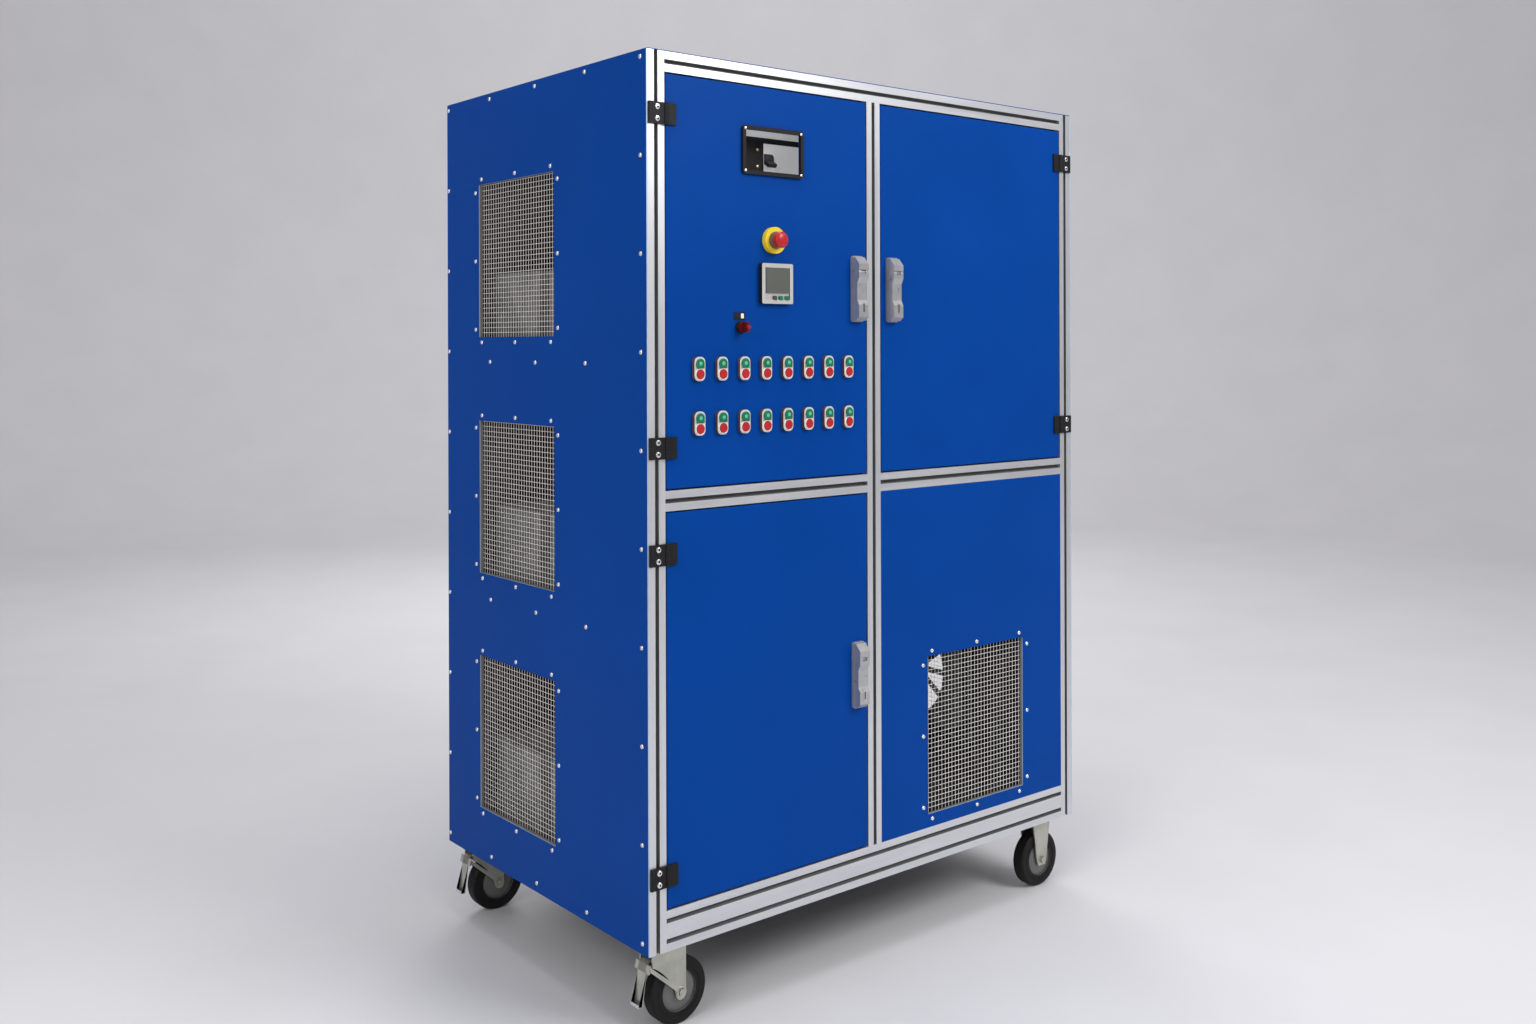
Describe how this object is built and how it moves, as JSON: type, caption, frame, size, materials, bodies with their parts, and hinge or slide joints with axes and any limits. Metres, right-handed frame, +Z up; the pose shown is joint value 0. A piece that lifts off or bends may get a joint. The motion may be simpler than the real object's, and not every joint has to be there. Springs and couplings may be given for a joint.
{
  "type": "generator load bank",
  "caption": "Wheeled resistor load cabinet with blue panels on a slotted aluminium frame, hinged control doors, swing handles, wire grilles and exhaust fans",
  "frame": {"origin": "on the floor under the middle of the outer box", "axes": "+Z up, +X to the right seen from the front, -Y out of the front"},
  "size_m": [1.456, 0.983, 2.172],
  "materials": {
    "extrusion": "natural anodised",
    "blue_paint": "fine textured powder coat",
    "galvanised": "galvanised sheet",
    "mesh": "welded zinc wire",
    "black_plastic": "moulded",
    "handle_zinc": "silver coated die casting",
    "clear": "clear pane",
    "yellow_plastic": "moulded",
    "red_plastic": "moulded",
    "pale_plastic": "moulded",
    "green_plastic": "moulded",
    "dark_plastic": "moulded",
    "element_steel": "heat tinted",
    "zinc_plate": "zinc plated",
    "wheel_rubber": "moulded rubber with a grey hub disc"
  },
  "bodies": {
    "cabinet": {"frame_posts": "extrusion", "top_rails": "extrusion", "base_rails": "extrusion", "cross_rails": "extrusion", "left_side_panel": "blue_paint", "right_side_panel": "blue_paint", "rear_panel": "blue_paint", "roof_panel": "blue_paint", "front_fixed_panel": "blue_paint", "floor_panel": "galvanised", "inner_sheets": "galvanised", "resistor_cases": "galvanised", "left_grilles": "mesh", "right_grilles": "mesh", "front_grille": "mesh", "hinge_post_leaves": "black_plastic", "main_breaker": "pale_plastic", "contactors": "dark_plastic", "resistor_elements": "element_steel", "cable_glands": "black_plastic", "fan_housings": "dark_plastic", "caster_plates": "zinc_plate", "rigid_forks": "zinc_plate"},
    "upper_left_leaf": {"upper_left_door": "blue_paint", "upper_left_hinge_leaves": "black_plastic", "upper_left_handle_base": "handle_zinc", "window_border": "black_plastic", "window_pane": "clear", "stop_collar": "yellow_plastic", "selector_collar": "black_plastic", "power_meter": "pale_plastic", "button_stations": "pale_plastic"},
    "upper_left_head": {"upper_left_handle_head": "handle_zinc"},
    "upper_left_grip": {"upper_left_handle_lever": "handle_zinc"},
    "lower_left_leaf": {"lower_left_door": "blue_paint", "lower_left_hinge_leaves": "black_plastic", "lower_left_handle_base": "handle_zinc"},
    "lower_left_head": {"lower_left_handle_head": "handle_zinc"},
    "lower_left_grip": {"lower_left_handle_lever": "handle_zinc"},
    "upper_right_leaf": {"upper_right_door": "blue_paint", "upper_right_hinge_leaves": "black_plastic", "upper_right_handle_base": "handle_zinc"},
    "upper_right_head": {"upper_right_handle_head": "handle_zinc"},
    "upper_right_grip": {"upper_right_handle_lever": "handle_zinc"},
    "stop_head": {"stop_knob": "red_plastic"},
    "selector": {"selector_knob": "red_plastic"},
    "start_bank": {"start_buttons": "green_plastic"},
    "stop_bank": {"stop_buttons": "red_plastic"},
    "toggle": {"breaker_toggle": "dark_plastic"},
    "fan_1": {"fan_rotor_1": "dark_plastic"},
    "fan_2": {"fan_rotor_2": "dark_plastic"},
    "fan_3": {"fan_rotor_3": "dark_plastic"},
    "front_left_fork": {"front_left_swivel_fork": "zinc_plate"},
    "front_left_roller": {"front_left_wheel": "wheel_rubber"},
    "front_left_pedal": {"front_left_brake_pedal": "zinc_plate"},
    "rear_left_fork": {"rear_left_swivel_fork": "zinc_plate"},
    "rear_left_roller": {"rear_left_wheel": "wheel_rubber"},
    "rear_left_pedal": {"rear_left_brake_pedal": "zinc_plate"},
    "front_right_roller": {"front_right_wheel": "wheel_rubber"},
    "rear_right_roller": {"rear_right_wheel": "wheel_rubber"}
  },
  "joints": [
    {"name": "upper_left_door_hinge", "type": "hinge", "parent": "cabinet", "child": "upper_left_leaf", "pos_m": [-0.67825, -0.4585, 1.721], "axis": [0, 0, -1], "range_deg": [0, 105]},
    {"name": "upper_left_handle_turn", "type": "hinge", "parent": "upper_left_leaf", "child": "upper_left_head", "pos_m": [-0.1055, -0.4535, 1.721], "axis": [0, 1, 0], "range_deg": [0, 90]},
    {"name": "upper_left_handle_lift", "type": "hinge", "parent": "upper_left_head", "child": "upper_left_grip", "pos_m": [-0.1055, -0.4721, 1.7], "axis": [-1, 0, 0], "range_deg": [0, 35]},
    {"name": "lower_left_door_hinge", "type": "hinge", "parent": "cabinet", "child": "lower_left_leaf", "pos_m": [-0.67825, -0.4585, 0.774], "axis": [0, 0, -1], "range_deg": [0, 105]},
    {"name": "lower_left_handle_turn", "type": "hinge", "parent": "lower_left_leaf", "child": "lower_left_head", "pos_m": [-0.1055, -0.4535, 0.774], "axis": [0, 1, 0], "range_deg": [0, 90]},
    {"name": "lower_left_handle_lift", "type": "hinge", "parent": "lower_left_head", "child": "lower_left_grip", "pos_m": [-0.1055, -0.4721, 0.753], "axis": [-1, 0, 0], "range_deg": [0, 35]},
    {"name": "upper_right_door_hinge", "type": "hinge", "parent": "cabinet", "child": "upper_right_leaf", "pos_m": [0.67825, -0.4585, 1.721], "axis": [0, 0, 1], "range_deg": [0, 105]},
    {"name": "upper_right_handle_turn", "type": "hinge", "parent": "upper_right_leaf", "child": "upper_right_head", "pos_m": [0.0145, -0.4535, 1.721], "axis": [0, -1, 0], "range_deg": [0, 90]},
    {"name": "upper_right_handle_lift", "type": "hinge", "parent": "upper_right_head", "child": "upper_right_grip", "pos_m": [0.0145, -0.4721, 1.7], "axis": [-1, 0, 0], "range_deg": [0, 35]},
    {"name": "stop_press", "type": "slide", "parent": "upper_left_leaf", "child": "stop_head", "axis": [0, 1, 0], "range_m": [0, 0.004], "stiffness_N_per_m": 1500},
    {"name": "selector_turn", "type": "hinge", "parent": "upper_left_leaf", "child": "selector", "pos_m": [-0.469, -0.4535, 1.564], "axis": [0, 1, 0], "range_deg": [-45, 45]},
    {"name": "start_press", "type": "slide", "parent": "upper_left_leaf", "child": "start_bank", "axis": [0, 1, 0], "range_m": [0, 0.003], "stiffness_N_per_m": 2000},
    {"name": "stop_bank_press", "type": "slide", "parent": "upper_left_leaf", "child": "stop_bank", "axis": [0, 1, 0], "range_m": [0, 0.003], "stiffness_N_per_m": 2000},
    {"name": "breaker_throw", "type": "hinge", "parent": "cabinet", "child": "toggle", "pos_m": [-0.325, -0.3735, 1.968], "axis": [-1, 0, 0], "range_deg": [0, 70]},
    {"name": "fan_1_spin", "type": "hinge", "parent": "cabinet", "child": "fan_1", "pos_m": [0.68, 0.1235, 0.523], "axis": [1, 0, 0], "continuous": true},
    {"name": "fan_2_spin", "type": "hinge", "parent": "cabinet", "child": "fan_2", "pos_m": [0.68, 0.1235, 1.132], "axis": [1, 0, 0], "continuous": true},
    {"name": "fan_3_spin", "type": "hinge", "parent": "cabinet", "child": "fan_3", "pos_m": [0.68, 0.1235, 1.743], "axis": [1, 0, 0], "continuous": true},
    {"name": "front_left_swivel", "type": "hinge", "parent": "cabinet", "child": "front_left_fork", "pos_m": [-0.662, -0.3995, 0.15], "axis": [0, 0, 1], "continuous": true},
    {"name": "front_left_roll", "type": "hinge", "parent": "front_left_fork", "child": "front_left_roller", "pos_m": [-0.62, -0.3995, 0.075], "axis": [0, 1, 0], "continuous": true},
    {"name": "front_left_brake", "type": "hinge", "parent": "front_left_fork", "child": "front_left_pedal", "pos_m": [-0.62, -0.3995, 0.075], "axis": [0, -1, 0], "range_deg": [0, 12]},
    {"name": "rear_left_swivel", "type": "hinge", "parent": "cabinet", "child": "rear_left_fork", "pos_m": [-0.662, 0.4345, 0.15], "axis": [0, 0, 1], "continuous": true},
    {"name": "rear_left_roll", "type": "hinge", "parent": "rear_left_fork", "child": "rear_left_roller", "pos_m": [-0.62, 0.4345, 0.075], "axis": [0, 1, 0], "continuous": true},
    {"name": "rear_left_brake", "type": "hinge", "parent": "rear_left_fork", "child": "rear_left_pedal", "pos_m": [-0.62, 0.4345, 0.075], "axis": [0, -1, 0], "range_deg": [0, 12]},
    {"name": "front_right_roll", "type": "hinge", "parent": "cabinet", "child": "front_right_roller", "pos_m": [0.63, -0.3995, 0.075], "axis": [0, 1, 0], "continuous": true},
    {"name": "rear_right_roll", "type": "hinge", "parent": "cabinet", "child": "rear_right_roller", "pos_m": [0.63, 0.4345, 0.075], "axis": [0, 1, 0], "continuous": true}
  ]
}
